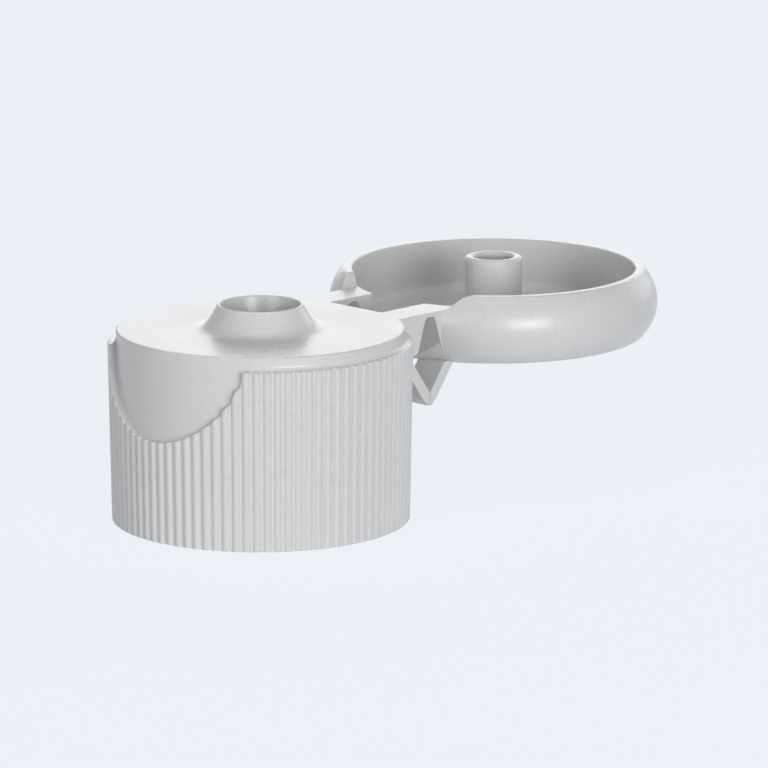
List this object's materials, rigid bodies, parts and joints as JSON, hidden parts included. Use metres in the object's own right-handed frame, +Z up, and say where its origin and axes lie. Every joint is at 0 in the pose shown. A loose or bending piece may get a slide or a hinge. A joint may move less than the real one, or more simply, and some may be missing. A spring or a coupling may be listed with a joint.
{
  "type": "flip top cap",
  "caption": "Ribbed screw-on bottle cap with a pouring nozzle and a hinged lid that snaps open on a V-shaped spring.",
  "frame": {"origin": "centre of the base's bottom edge, on the neck thread's axis, in the mouth of the threaded bore", "axes": "+Z up along the neck's axis, thumb scoop towards -Y, the open lid lies towards +Y, hinge line along X"},
  "size_m": [0.0378, 0.0733, 0.0244],
  "materials": {
    "polypropylene": "satin, as moulded"
  },
  "bodies": {
    "base": {"cap_base": "polypropylene"},
    "lid": {"lid": "polypropylene"},
    "base_legs": {"spring_leg_base_right": "polypropylene", "spring_leg_base_left": "polypropylene"},
    "lid_legs": {"spring_leg_lid_right": "polypropylene", "spring_leg_lid_left": "polypropylene"}
  },
  "joints": [
    {"name": "lid_hinge", "type": "hinge", "parent": "base", "child": "lid", "pos_m": [0, 0.0188, 0.02165], "axis": [1, 0, 0], "range_deg": [0, 180]},
    {"name": "base_leg_film", "type": "hinge", "parent": "base", "child": "base_legs", "pos_m": [0, 0.0164, 0.01665], "axis": [1, 0, 0], "range_deg": [0, 118]},
    {"name": "lid_leg_film", "type": "hinge", "parent": "lid", "child": "lid_legs", "pos_m": [0, 0.0208, 0.01535], "axis": [1, 0, 0], "range_deg": [-112, 0]}
  ],
  "couplings": [
    {"joint": "base_leg_film", "follows": "lid_hinge", "ratio": 0.6555},
    {"joint": "lid_leg_film", "follows": "lid_hinge", "ratio": -0.6222}
  ]
}
